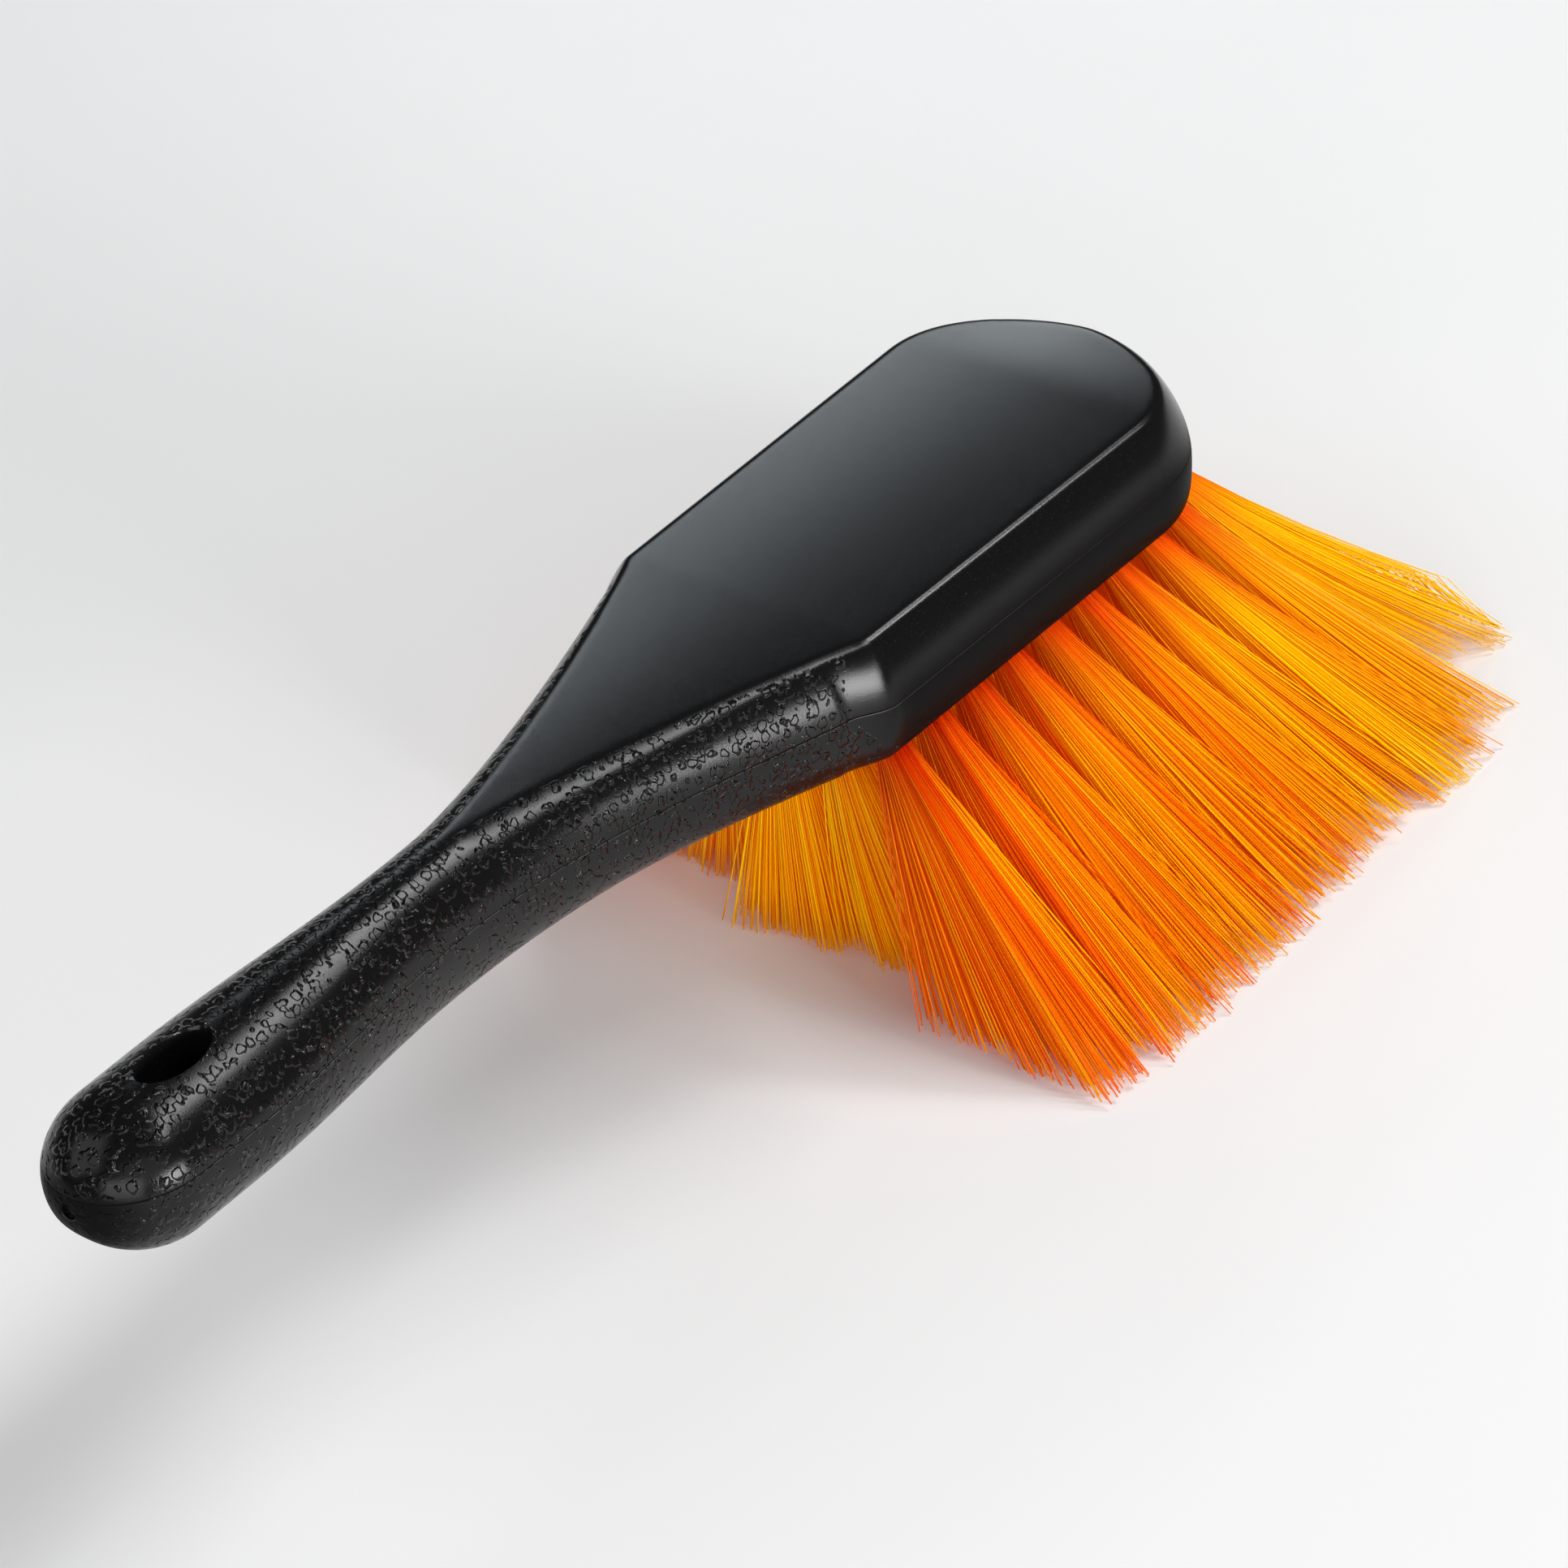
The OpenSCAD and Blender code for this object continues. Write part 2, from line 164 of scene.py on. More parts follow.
def half_section(w, flat, base, top_z, widest_z, base_z, top_round, base_round, points):
    """Half a section, from the middle of the top to the middle of the underside.

    Gives the distances out and the heights of its points, closer where it bends."""
    a = np.linspace(0, np.pi / 2, 121)
    out = np.concatenate([
        np.linspace(0, flat, 60)[:-1],
        flat + (w - flat) * np.sin(a) ** (2 / top_round[0]),
        base + (w - base) * np.cos(a[1:]) ** (2 / base_round),
        np.linspace(base, 0, 60)[1:]])
    z = np.concatenate([
        np.full(59, top_z),
        widest_z + (top_z - widest_z) * np.cos(a) ** (2 / top_round[1]),
        widest_z + (base_z - widest_z) * np.sin(a[1:]) ** (2 / base_round),
        np.full(59, base_z)])
    if flat > 5:
        z = z - CROWN * ease(flat / 30) * np.clip(out / flat, 0, 1) ** 2 * (z > widest_z)
    along = np.concatenate([[0], np.cumsum(np.hypot(np.diff(out), np.diff(z)) + 1e-9)])
    even = np.linspace(0, along[-1], 500)
    span = int(250 * min(0.04, EDGE_SOFT / (along[-1] + 0.01)))
    out = running_mean(running_mean(np.interp(even, along, out), -1, span), -1, span)
    z = running_mean(running_mean(np.interp(even, along, z), 1, span), 1, span)
    step = np.hypot(np.diff(out), np.diff(z)) + 1e-9
    turn = np.arctan2(np.diff(z), np.diff(out))
    bend = np.convolve(np.abs(np.diff(np.unwrap(turn), prepend=turn[0])), np.ones(9) / 9, "same") + 1e-6
    along = np.concatenate([[0], np.cumsum(0.7 * step / step.sum() + 0.3 * bend / bend.sum())])
    want = np.linspace(0, along[-1], points)
    return np.interp(want, along, out), np.interp(want, along, z)


HALF_POINTS = 77


def block_half(x):
    x = np.float64(x)
    c, s, w = end_close(x), ease((x - HANDLE_LEN + BLEND_LEN) / BLEND_LEN), half_width(x)
    return half_section(
        w * c, flat_half_width(x) * c, mix(TONGUE_TIP_W, w - BOTTOM_EDGE_IN, s) * c,
        mix(HANDLE_MID_Z, -HANDLE_DROP * max(0, 1 - x / HANDLE_LEN), c),
        mix(HANDLE_MID_Z, HEAD_WIDEST_Z, s),
        mix(mix(HANDLE_MID_Z, HANDLE_BASE_Z, c), -HEAD_H, s),
        [mix(TOP_ROUND[i], EDGE_ROUND[i], s) for i in (0, 1)],
        mix(GRIP_ROUND, HEAD_ROUND, s), HALF_POINTS)


def nose_half(turn):
    u, side = math.cos(turn), math.sin(turn)
    out = np.array([NOSE_LEN * u, math.copysign(
        HEAD_W / 2 * max(0, 1 - u ** NOSE_POWER) ** (1 / NOSE_ARCH), side)])
    reach = np.hypot(*out)
    far, z = half_section(reach, reach - TOP_EDGE_IN, reach - BOTTOM_EDGE_IN, 0, HEAD_WIDEST_Z,
                          -HEAD_H, EDGE_ROUND, HEAD_ROUND, HALF_POINTS)
    return np.stack([NOSE_X + out[0] / reach * far, out[1] / reach * far, z], axis=1)


def grid_of(places):
    """A grid moved onto rows of places, as a bmesh."""
    rows, columns = places.shape[:2]
    bm = bmesh.new()
    bmesh.ops.create_grid(bm, x_segments=columns - 1, y_segments=rows - 1, size=1)
    for v in bm.verts:
        i = round((v.co.y + 1) / 2 * (rows - 1))
        j = round((v.co.x + 1) / 2 * (columns - 1))
        v.co = places[i, j]
    return bm


ring_x = np.concatenate([
    END_LEN * (1 - np.cos(np.linspace(0, np.pi / 2, 27))),
    np.linspace(END_LEN, NECK_X - 4, 150)[1:],
    np.linspace(NECK_X - 4, HANDLE_LEN + 2, 24)[1:],
    np.linspace(HANDLE_LEN + 2, NOSE_X, 26)[1:]])
body_places = []
for x in ring_x:
    out, z = block_half(x)
    body_places.append(np.stack([np.full(2 * HALF_POINTS - 1, x),
                                 np.concatenate([-out[::-1], out[1:]]),
                                 np.concatenate([z[::-1], z[1:]])], axis=1))
nose_places = [nose_half(turn) for turn in np.linspace(-np.pi / 2, np.pi / 2, 91)]
block_mesh = bpy.data.meshes.new("block_body")
bm = grid_of(np.array(body_places))
bm.to_mesh(block_mesh)
bm.free()
bm = grid_of(np.array(nose_places))
bm.from_mesh(block_mesh)
bmesh.ops.remove_doubles(bm, verts=bm.verts, dist=0.0005)
for v in bm.verts:
    fall = NOSE_FALL * ease((v.co.x - NOSE_X - FALL_START) / (NOSE_LEN - FALL_START - 1))
    v.co.z -= fall * min(1, max(0, 1 + v.co.z / FALL_FADE))
bmesh.ops.transform(bm, matrix=Matrix.Translation(BLOCK_ORIGIN) @ Matrix.Scale(MM, 4), verts=bm.verts)
bmesh.ops.recalc_face_normals(bm, faces=bm.faces)
bm.to_mesh(block_mesh)
bm.free()
block = bpy.data.objects.new("block_body", block_mesh)
bpy.context.scene.collection.objects.link(block)

# The cutters: the hanging slot with its rounded rim, the gate's recess, and the
# tufts' holes.
COLUMNS, REAR_MARGIN, FRONT_MARGIN, SIDE_MARGIN, HOLE_D = 10, 8, 8, 10.5, 5.2
BRISTLE_H, FLARE_X, FLARE_OUT, OUTER_FAN, FLARE_BACK = 61, 1.42, 41, 25, 5.5
INNER_FLARE, INNER_FORWARD, INNER_FAN = 15.5, 4, 12.5
NOSE_FLARE, NOSE_FAN, LEAD, UNEVEN = 34, 22.5, 0.7, 4
HOLE_CUT = 8


def column_x(c):
    return mix(HANDLE_LEN + REAR_MARGIN, BLOCK_LEN - FRONT_MARGIN, (c - 1) / (COLUMNS - 1))


def head_half_width(x):
    if x < NOSE_X:
        return float(half_width(np.float64(x)))
    return HEAD_W / 2 * (1 - min(1, (x - NOSE_X) / NOSE_LEN) ** NOSE_POWER) ** (1 / NOSE_ARCH)


def row_pitch(c):
    return (head_half_width(column_x(c)) - SIDE_MARGIN) / (2 if c < COLUMNS else 1)


def tuft_root(r, c):
    return np.array([column_x(c), (r - 3) * row_pitch(c)])


def tuft_flare(r, c):
    """How far the tuft's middle goes from its root to the trimmed face."""
    outer = r in (1, 5)
    ahead = -FLARE_BACK if outer else 0 if r == 3 else INNER_FORWARD
    out = FLARE_OUT if outer else NOSE_FLARE if c == COLUMNS else INNER_FLARE
    return np.array([(FLARE_X - 1) * (column_x(c) - column_x(1)) + ahead, np.sign(r - 3) * out])


TUFTS = [(r, c) for c in range(1, COLUMNS + 1)
         for r in ((1, 2, 3, 4, 5) if c < COLUMNS else (2, 3, 4))]

cutter = bmesh.new()
lip = [(-HANDLE_H - 3, 1.6), (HANDLE_BASE_Z + 0.5, 0.7), (HANDLE_BASE_Z + 1.4, 0.1),
       (HANDLE_BASE_Z + 2.2, 0), (-2.9, 0), (-2.2, 0.06), (-1.6, 0.2), (-1.2, 0.42), (0.6, 2.1)]
bmesh.ops.create_circle(cutter, segments=48, radius=1)
for v in cutter.verts:
    v.co.z = lip[0][0]
rim = list(cutter.edges)
bmesh.ops.edgeloop_fill(cutter, edges=rim)
for height, grow in lip[1:]:
    made = bmesh.ops.extrude_edge_only(cutter, edges=rim)["geom"]
    for v in [g for g in made if isinstance(g, bmesh.types.BMVert)]:
        v.co.z = height
    rim = [g for g in made if isinstance(g, bmesh.types.BMEdge)
           and abs(g.verts[0].co.z - g.verts[1].co.z) < 0.001]
bmesh.ops.edgeloop_fill(cutter, edges=rim)
slot_levels = {round(h, 3): g for h, g in lip}
for v in cutter.verts:
    grow = slot_levels[round(v.co.z, 3)]
    v.co.x, v.co.y = v.co.x * (SLOT_LEN / 2 + grow), v.co.y * (SLOT_W / 2 + grow)
bmesh.ops.translate(cutter, vec=(SLOT_X, 0, 0), verts=cutter.verts)
bmesh.ops.create_cone(cutter, cap_ends=True, segments=32, radius1=GATE_D / 2 + 0.3, radius2=GATE_D / 2,
                      depth=2 * GATE_DEPTH,
                      matrix=Matrix.Translation((0, 0, HANDLE_MID_Z)) @ Matrix.Rotation(math.pi / 2, 4, "Y"))
for r, c in TUFTS:
    root, lean = tuft_root(r, c), tuft_flare(r, c) * LEAD / BRISTLE_H
    down = Vector((lean[0], lean[1], -1)).normalized()
    turn = Vector((0, 0, -1)).rotation_difference(down).to_matrix().to_4x4()
    bmesh.ops.create_cone(cutter, cap_ends=True, segments=20, radius1=HOLE_D / 2,
                          radius2=HOLE_D / 2, depth=HOLE_CUT,
                          matrix=Matrix.Translation((root[0], root[1], -HEAD_H)) @ turn)
bmesh.ops.transform(cutter, matrix=Matrix.Translation(BLOCK_ORIGIN) @ Matrix.Scale(MM, 4), verts=cutter.verts)
bmesh.ops.recalc_face_normals(cutter, faces=cutter.faces)
cutter_mesh = bpy.data.meshes.new("block_cutter")
cutter.to_mesh(cutter_mesh)
cutter.free()
cutter_object = bpy.data.objects.new("block_cutter", cutter_mesh)
bpy.context.scene.collection.objects.link(cutter_object)
cut = block.modifiers.new("cut", "BOOLEAN")
cut.operation, cut.solver, cut.object = "DIFFERENCE", "EXACT", cutter_object
block.data = bpy.data.meshes.new_from_object(
    block.evaluated_get(bpy.context.evaluated_depsgraph_get()))
block.modifiers.clear()
bpy.data.objects.remove(cutter_object)
bpy.data.meshes.remove(block_mesh)
block.data.shade_smooth()
block.data.set_sharp_from_angle(angle=math.radians(42))

# How far each point lies inside the grained part, and above the parting line
GRAIN_END_X, GRAIN_END_BOW, GRAIN_BOW_Z, GRAIN_SIDE_Z = 191, 0.05, -10, -14
TONGUE_GAP, TONGUE_EDGE_Z, SLOT_SMOOTH = 0.9, -1.2, 0.3
point_count = len(block.data.vertices)
places = np.empty(point_count * 3)
block.data.vertices.foreach_get("co", places)
places = (places.reshape(-1, 3) - np.array(BLOCK_ORIGIN)) / MM
x, y, z = places.T
side_line = GRAIN_END_X + GRAIN_END_BOW * (z - GRAIN_BOW_Z) ** 2 - x
past_tongue = np.maximum(0, HANDLE_LEN - TONGUE_LEN + 2 - x)
top_line = np.abs(y) - tongue_half_width(x) - TONGUE_GAP + past_tongue
grained = np.where(z > GRAIN_SIDE_Z,
                   np.minimum(side_line, np.maximum(top_line, TONGUE_EDGE_Z - z)), side_line)
slot_way = (np.hypot((x - SLOT_X) / (SLOT_LEN / 2), y / (SLOT_W / 2)) - 1) * SLOT_W / 2
grained = np.minimum(grained, slot_way - SLOT_SMOOTH)
parting = z - PARTING_Z + ease((x - NECK_X) / SHOULDER_LEN) * PARTING_RISE

# Painted shade: the share of each point, on the head's lower flanks and the handle's end,
# that is mixed to a near-black matt shader. It stands in for dark surroundings there, darkening
# the floor's reflection, and the real plastic may be as glossy.
facing = np.empty(point_count * 3)
block.data.vertex_normals.foreach_get("vector", facing)
facing = facing[2::3]
painted_shade_flank = ease((0.50 - facing) / 0.35) * ease((x - HANDLE_LEN + 8) / 12)
painted_shade_end = ease((10 - x) / 9) * ease((0.6 - facing) / 0.4)


def keep_values(mesh, name, values):
    """Stores one value for each point of a mesh."""
    mesh.attributes.new(name, "FLOAT", "POINT").data.foreach_set("value", values.astype(np.float32))


keep_values(block.data, "grained", grained)
keep_values(block.data, "parting", parting)
keep_values(block.data, "painted_shade", np.maximum(painted_shade_flank, painted_shade_end))


class Socket:
    """A node's output, which adds a node for each operation on it."""

    def __init__(self, tree, socket):
        self.tree, self.socket = tree, socket

    def node(self, kind, inputs=None, output=0, **settings):
        made = self.tree.nodes.new(kind)
        for name, value in settings.items():
            setattr(made, name, value)
        for name, value in (inputs or {}).items():
            if isinstance(value, Socket):
                self.tree.links.new(value.socket, made.inputs[name])
            else:
                made.inputs[name].default_value = value
        return Socket(self.tree, made.outputs[output])

    def math(self, operation, *values):
        return self.node("ShaderNodeMath", dict(enumerate(values)), operation=operation)

    def __add__(self, other):
        return self.math("ADD", self, other)

    def __radd__(self, other):
        return self.math("ADD", other, self)

    def __rsub__(self, other):
        return self.math("SUBTRACT", other, self)

    def __mul__(self, other):
        return self.math("MULTIPLY", self, other)

    def step(self, low, high):
        """0 up to low and 1 from high on, with an eased change between them."""
        return self.node("ShaderNodeMapRange", {"Value": self, "From Min": low, "From Max": high},
                         interpolation_type="SMOOTHSTEP")

    def scaled(self, x, y, z, turn=(0, 0, 0)):
        return self.node("ShaderNodeMapping", {"Vector": self, "Scale": (x, y, z), "Rotation": turn})

    def noise(self, scale, detail=2.0, roughness=0.5, output=0):
        return self.node("ShaderNodeTexNoise", {"Vector": self, "Scale": scale, "Detail": detail,
                                                "Roughness": roughness}, output=output)

    def blend(self, low, high):
        """Mixes two colours by this value."""
        made = self.tree.nodes.new("ShaderNodeMix")
        made.data_type = "RGBA"
        self.tree.links.new(self.socket, made.inputs[0])
        for index, value in ((6, low), (7, high)):
            if isinstance(value, Socket):
                self.tree.links.new(value.socket, made.inputs[index])
            else:
                made.inputs[index].default_value = (*value, 1)
        return Socket(self.tree, made.outputs[2])


def new_material(name):
    """A material, its shader's inputs, and the place on the piece in mm."""
    material = bpy.data.materials.new(name)
    material.use_nodes = True
    tree = material.node_tree
    shader = next(n for n in tree.nodes if n.type == "BSDF_PRINCIPLED")
    start = Socket(tree, None)
    place = start.node("ShaderNodeTexCoord", output=3)
    return material, shader, place.scaled(1000, 1000, 1000)


def feed(shader, **values):
    for name, value in values.items():
        socket = shader.inputs[name.replace("_", " ")]
        if isinstance(value, Socket):
            value.tree.links.new(value.socket, socket)
        else:
            socket.default_value = value


def bump(height, distance, normal=None):
    inputs = {"Height": height, "Distance": distance, "Strength": 1.0}
    if normal:
        inputs["Normal"] = normal
    return height.node("ShaderNodeBump", inputs)


block_plastic, shader, place = new_material("block_plastic")
grain_line = place.node("ShaderNodeAttribute", output=2, attribute_name="grained")
warp = place.node("ShaderNodeVectorMath", {0: place.noise(0.75, 0.0, output=1), 1: (0.5, 0.5, 0.5)},
                  operation="SUBTRACT")
bent = place.node("ShaderNodeVectorMath", {0: warp, 1: (1.3, 1.3, 1.3), 2: place}, operation="MULTIPLY_ADD")
cell = bent.node("ShaderNodeTexVoronoi", {"Vector": bent, "Scale": 0.43, "Randomness": 0.75})
uneven = place.noise(0.9, 0.0) * 0.12
island = 1.0 - (cell + uneven).step(0.40, 0.58)
in_grain = grain_line.step(-0.2, 0.9)
grain_height = island * in_grain
speckle = place.noise(3.6, 2.0, 0.6)
scratches = place.scaled(0.25, 5.0, 5.0, (0, 0, 0.3)).noise(1.0, 2.0, 0.6).step(0.66, 0.74)
above = place.node("ShaderNodeAttribute", output=2, attribute_name="parting")
seam = above.math("ABSOLUTE", above).step(0.03, 0.28)
normal = bump(speckle, 0.00002)
normal = bump(grain_height, 0.00045, normal)
normal = bump(seam, 0.00022, normal)

# Lighter specks on the smooth parts, painted into the colour
light_specks = place.noise(3.4, 1.0).step(0.66, 0.78)
smooth = 1.0 - in_grain
colour = (light_specks * 0.6 * smooth).blend((0.0042, 0.0042, 0.0046), (0.03, 0.03, 0.031))
feed(shader, Base_Color=colour, Normal=normal,
     Roughness=0.14 + in_grain * 0.01 + speckle * 0.05 + scratches * smooth * 0.05,
     Specular_IOR_Level=0.26, IOR=1.5)
# Painted shade on the head's lower flanks and the handle's end, and the parting line's dark joint: a
# near-black matt shader mixed over the glossy one
SHADE_AND_SEAM_SHARE = 0.85
painted_shade = place.node("ShaderNodeAttribute", output=2, attribute_name="painted_shade")
shade_and_seam_shader = place.node("ShaderNodeBsdfDiffuse", {"Color": (0.004, 0.004, 0.0043, 1)})
glossy = Socket(place.tree, shader.outputs[0])
shade_and_seam_part = painted_shade.math("MAXIMUM", painted_shade, 1.0 - seam) * SHADE_AND_SEAM_SHARE
skin = place.node("ShaderNodeMixShader", {0: shade_and_seam_part, 1: glossy, 2: shade_and_seam_shader})
surface = next(n for n in place.tree.nodes if n.type == "OUTPUT_MATERIAL").inputs["Surface"]
place.tree.links.new(skin.socket, surface)
block.data.materials.clear()
block.data.materials.append(block_plastic)
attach(block, "root")
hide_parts("brush_block")

# --- Bristles ---------------------------------------------------------------------
# Each tuft is a bundle of glossy extruded filaments, folded double over its anchor
# and driven into its hole. They splay as they leave it and are trimmed level below,
# with a few strays.
FILAMENTS, FILAMENT_R, FILAMENT_STEPS, CLUMPS = 560, 0.20, 6, 22
ROOT_R, ROOT_DEPTH, GOLDEN_TURN = HOLE_D / 2 - 0.4, 3, 2.39996
OUTER_LEAD, SQUARENESS = 0.88, 0.95
FAR_SWEEP, FAR_SWEEP_COLUMNS = 9, 4      # towards the nose, for each row past the middle
MIDDLE_SWEEP, MIDDLE_SWEEP_COLUMNS = 4, 3
BOX_MARGIN = 0.6
GLOW_STRENGTH = 0.11
random = np.random.default_rng(7)

bm = bmesh.new()
bmesh.ops.create_cone(bm, cap_ends=True, segments=3, radius1=1, radius2=1, depth=1)
bmesh.ops.subdivide_edges(bm, edges=[e for e in bm.edges if abs(e.verts[0].co.z - e.verts[1].co.z) > 0.5],
                          cuts=FILAMENT_STEPS - 1)
filament_mesh = bpy.data.meshes.new("filament")
bm.to_mesh(filament_mesh)
bm.free()

filament, shader, place = new_material("filament")
along = place.node("ShaderNodeAttribute", output=2, attribute_name="along")
# The filaments' tint mixes tone that differs at random with painted light, set for each tuft below
tone_and_painted_light = place.node("ShaderNodeAttribute", output=2, attribute_name="tone_and_painted_light")
# Painted shade: the filaments are coloured deep red near their roots, for the shade under the head
painted_shade_root_colour = tone_and_painted_light.blend((0.55, 0.008, 0.0), (0.85, 0.06, 0.0))
body_colour = tone_and_painted_light.blend((0.86, 0.10, 0.0), (0.96, 0.62, 0.0))
streak = place.scaled(1.0, 1.0, 0.06).noise(1.5, 2.0)
# The low glow stands in for light that passes through the filaments
glow = along.step(0.02, 0.35).blend((0.35, 0.004, 0.0), (1.0, 0.10, 0.0))
feed(shader, Base_Color=(along.step(0.0, 0.42) * (0.75 + streak * 0.5)).blend(painted_shade_root_colour, body_colour),
     Roughness=0.24 + streak * 0.12, IOR=1.45, Specular_Tint=(1.0, 0.62, 0.08, 1),
     Emission_Color=glow, Emission_Strength=GLOW_STRENGTH,
     Normal=bump(streak, 0.00005))

shape = np.empty(len(filament_mesh.vertices) * 3)
filament_mesh.vertices.foreach_get("co", shape)
shape = shape.reshape(-1, 3)
STEPS_ALONG = shape[:, 2] + 0.5
low_xy = np.array([(cad_box[0][0] - BLOCK_ORIGIN.x) / MM, cad_box[0][1] / MM]) + BOX_MARGIN
high_xy = np.array([(cad_box[1][0] - BLOCK_ORIGIN.x) / MM, cad_box[1][1] / MM]) - BOX_MARGIN

for r, c in TUFTS:
    bm = bmesh.new()
    for n in range(FILAMENTS):
        bm.from_mesh(filament_mesh)
    mesh = bpy.data.meshes.new(f"bristles_row{r}_{c}")
    bm.to_mesh(mesh)
    bm.free()
    turn = np.arange(FILAMENTS) * GOLDEN_TURN + random.uniform(0, 6.28)
    reach = np.sqrt((np.arange(FILAMENTS) + 0.5) / FILAMENTS)
    unit = np.stack([np.cos(turn), np.sin(turn)], axis=1) * reach[:, None]
    square = unit / np.maximum(np.abs(np.cos(turn)), np.abs(np.sin(turn)))[:, None]
    outer, nose = r in (1, 5), c == COLUMNS
    full = np.array([(column_x(2) - column_x(1)) * FLARE_X * (1.0 if nose else 0.66),
                     OUTER_FAN if outer else NOSE_FAN + 4 if nose else INNER_FAN + 1.5])
    clumps = random.uniform(-1, 1, (CLUMPS, 2))
    clump = np.argmin(np.hypot(*(unit[:, None, :] - clumps[None]).transpose(2, 0, 1)), axis=1)
    stray = random.normal(0, 1.0, (CLUMPS, 2))[clump] + random.normal(0, 0.5, (FILAMENTS, 2))
    trim = (BRISTLE_H - (UNEVEN - 1) * random.beta(1.2, 2.6, CLUMPS)[clump]
            - random.beta(1.1, 3.0, FILAMENTS))
    trim[0] = BRISTLE_H
    h = -ROOT_DEPTH + (trim[:, None] + ROOT_DEPTH) * STEPS_ALONG[None, :]
    t = h / BRISTLE_H
    lead = OUTER_LEAD if outer else LEAD
    flared = np.where(t < 0, lead * t, lead * t + (1 - lead) * t * t)
    fan = np.clip(t, 0, 1)[:, :, None]
    ends = full * mix(unit, square, SQUARENESS)[:, None, :]
    spread = ROOT_R * unit[:, None, :] * (1 - fan) + ends * fan
    sweep = FAR_SWEEP * max(0, r - 3) * max(0, 1 - (c - 1) / FAR_SWEEP_COLUMNS)
    if r in (2, 3, 4):
        sweep += MIDDLE_SWEEP * max(0, 1 - (c - 1) / MIDDLE_SWEEP_COLUMNS)
    swept = np.array([sweep, 0])
    middle = tuft_root(r, c) + flared[:, :, None] * (tuft_flare(r, c) + swept)
    centre = middle + spread + stray[:, None, :] * fan ** 1.6
    centre = np.clip(centre, low_xy, high_xy)
    width = FILAMENT_R * (1.05 - 0.15 * t) * random.uniform(0.85, 1.25, FILAMENTS)[:, None]
    spin = random.uniform(0, 1.57, FILAMENTS)[:, None]
    cos, sin = np.cos(spin), np.sin(spin)
    round_x = shape[None, :, 0] * cos - shape[None, :, 1] * sin
    round_y = shape[None, :, 0] * sin + shape[None, :, 1] * cos
    places = np.stack([centre[:, :, 0] + width * round_x, centre[:, :, 1] + width * round_y,
                       -HEAD_H - h], axis=2) * MM + np.array(BLOCK_ORIGIN)
    mesh.vertices.foreach_set("co", places.reshape(-1))
    keep_values(mesh, "along", t.reshape(-1))
    # Painted light: tufts are painted paler and yellower where light falls on them, towards the nose in the
    # outer rows and away from the fourth column in the inner rows
    painted_light = 0.22 + 0.7 * ((c - 1) / 9) ** 1.5 if r in (1, 5) else 0.60 + 0.07 * abs(c - 4)
    tones_and_painted_light = (random.beta(1.6, 1.6, CLUMPS)[clump] * 0.6 + random.beta(1.1, 1.1, FILAMENTS) * 0.6
             + painted_light - 0.60)
    keep_values(mesh, "tone_and_painted_light", np.repeat(np.clip(tones_and_painted_light, 0, 1), len(shape)))
    mesh.update()
    mesh.shade_smooth()
    mesh.materials.append(filament)
    bristles = bpy.data.objects.new(f"bristles_row{r}_{c}", mesh)
    bpy.context.scene.collection.objects.link(bristles)
    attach(bristles, "root")
    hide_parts(f"tuft_row{r}_{c}")

# --- Anchors ------------------------------------------------------------------------
# Flat strips of nickel silver, one in each hole, driven across the folded filaments
# so that their ends bite into the plastic on both sides.
anchor_metal, shader, place = new_material("anchor_metal")
drawn = place.scaled(0.4, 8.0, 8.0).noise(1.5, 3.0)
feed(shader, Base_Color=drawn.blend((0.66, 0.60, 0.46), (0.76, 0.71, 0.58)), Metallic=1.0,
     Roughness=0.26 + drawn * 0.16, Normal=bump(drawn, 0.00002))
for r in range(1, 6):
    strips = bpy.data.objects[f"anchors_row{r}"]
    strips.data.materials.clear()
    strips.data.materials.append(anchor_metal)

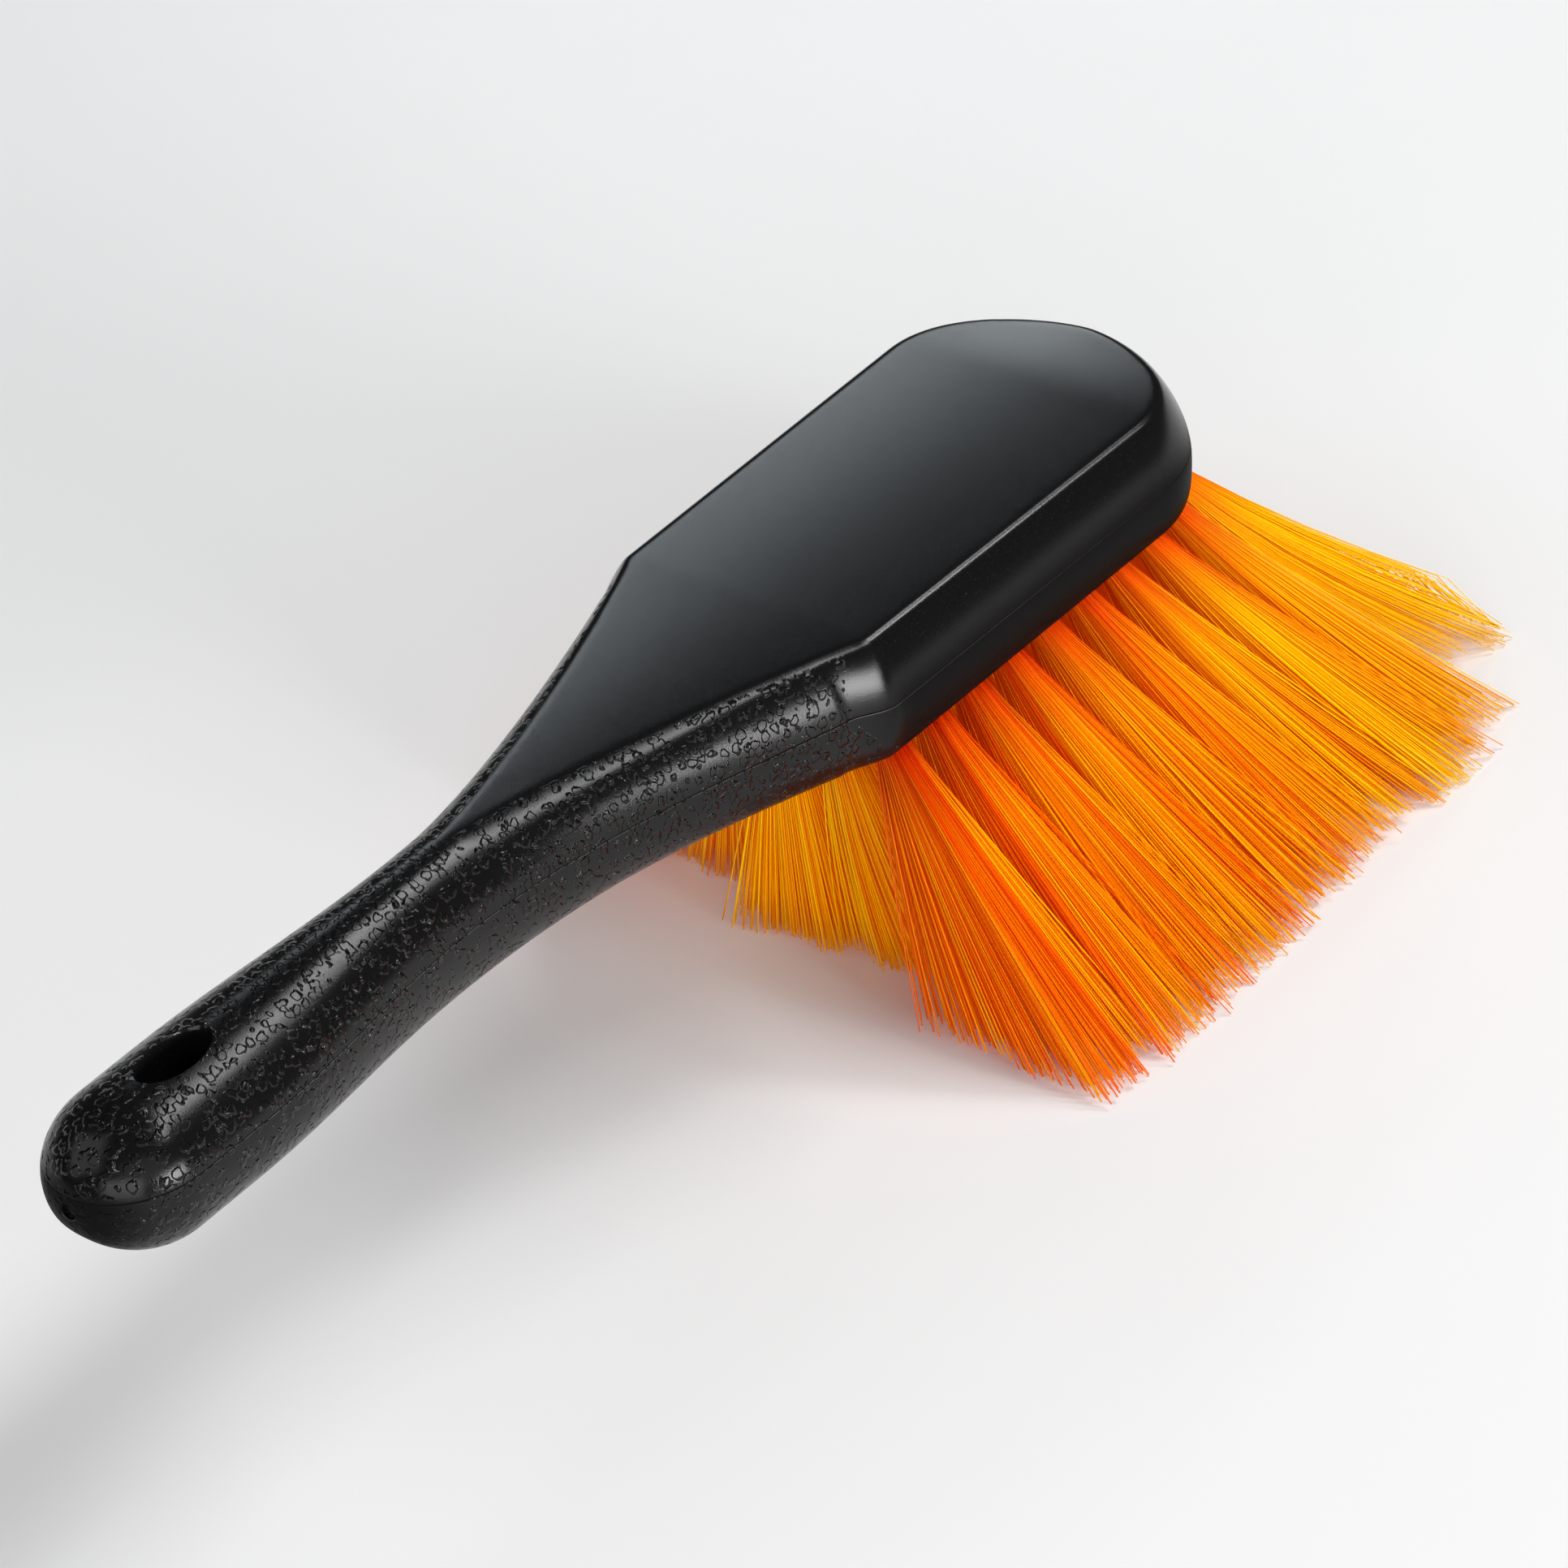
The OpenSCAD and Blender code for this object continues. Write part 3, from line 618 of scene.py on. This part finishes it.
# --- Floor and light --------------------------------------------------------------------
# A pale matt floor under a long soft key above the right side, with a small box for
# the near edge, a large side box, two cool strips behind the brush for the sheen on its
# top and nose, and weak fills from the near left, low left and overhead.
bm = bmesh.new()
bmesh.ops.create_grid(bm, x_segments=1, y_segments=1, size=6)
floor_mesh = bpy.data.meshes.new("floor")
bm.to_mesh(floor_mesh)
bm.free()
floor = bpy.data.objects.new("floor", floor_mesh)
bpy.context.scene.collection.objects.link(floor)
floor_paint, shader, place = new_material("floor_paint")
mottle = place.noise(0.01, 3.0)
feed(shader, Base_Color=mottle.blend((0.86, 0.86, 0.86), (0.88, 0.88, 0.88)), Roughness=0.9)
floor.data.materials.append(floor_paint)


def softbox(name, ahead, along, distance, width, height, power, colour=(1, 1, 1)):
    """A soft panel that faces the brush's middle from the direction ahead of it,
    its width along the direction along."""
    lamp = bpy.data.lights.new(name, "AREA")
    lamp.shape, lamp.size, lamp.size_y = "RECTANGLE", width, height
    lamp.energy, lamp.color = power, colour
    panel = bpy.data.objects.new(name, lamp)
    bpy.context.scene.collection.objects.link(panel)
    ahead = Vector(ahead).normalized()
    upward = ahead.cross(Vector(along)).normalized()
    panel.matrix_world = Matrix.Translation(Vector((0, 0, 0.05)) + ahead * distance) @ Matrix(
        (upward.cross(ahead), upward, ahead)).transposed().to_4x4()


softbox("key", (0.48, -0.24, 0.84), (0.507, 0.861, -0.046), 4.5, 3.9, 0.63, 108)
softbox("edge_box", (0.633, -0.27, 0.72), (0, -0.9, -0.35), 1.7, 0.34, 0.22, 5)
softbox("side_box", (-0.06, -0.98, 0.17), (1, 0, 0), 1.6, 0.8, 0.4, 20)
softbox("far_strip", (0.502, 0.435, 0.372), (1, 0, 0), 0.776, 0.5, 0.06, 0.55, (0.86, 0.95, 1.0))
softbox("nose_panel", (0.69, 0.38, 0.32), (1, 0, 0), 0.84, 0.09, 0.10, 0.035, (0.92, 0.97, 1.0))
softbox("viewer_fill", (-0.45, -0.72, 0.50), (0.9, -0.45, 0), 1.9, 1.6, 1.2, 4)
softbox("low_fill", (-0.80, -0.50, 0.22), (0.5, -0.8, 0), 1.8, 1.4, 0.8, 11)
softbox("overhead", (-0.65, 0.40, 0.65), (1, 0, 0), 2.2, 1.6, 1.6, 10)

world = bpy.data.worlds.new("studio")
bpy.context.scene.world = world
world.use_nodes = True
world.node_tree.nodes["Background"].inputs["Color"].default_value = (1, 1, 1, 1)
world.node_tree.nodes["Background"].inputs["Strength"].default_value = 0.05
bpy.context.scene.view_settings.view_transform = "Standard"
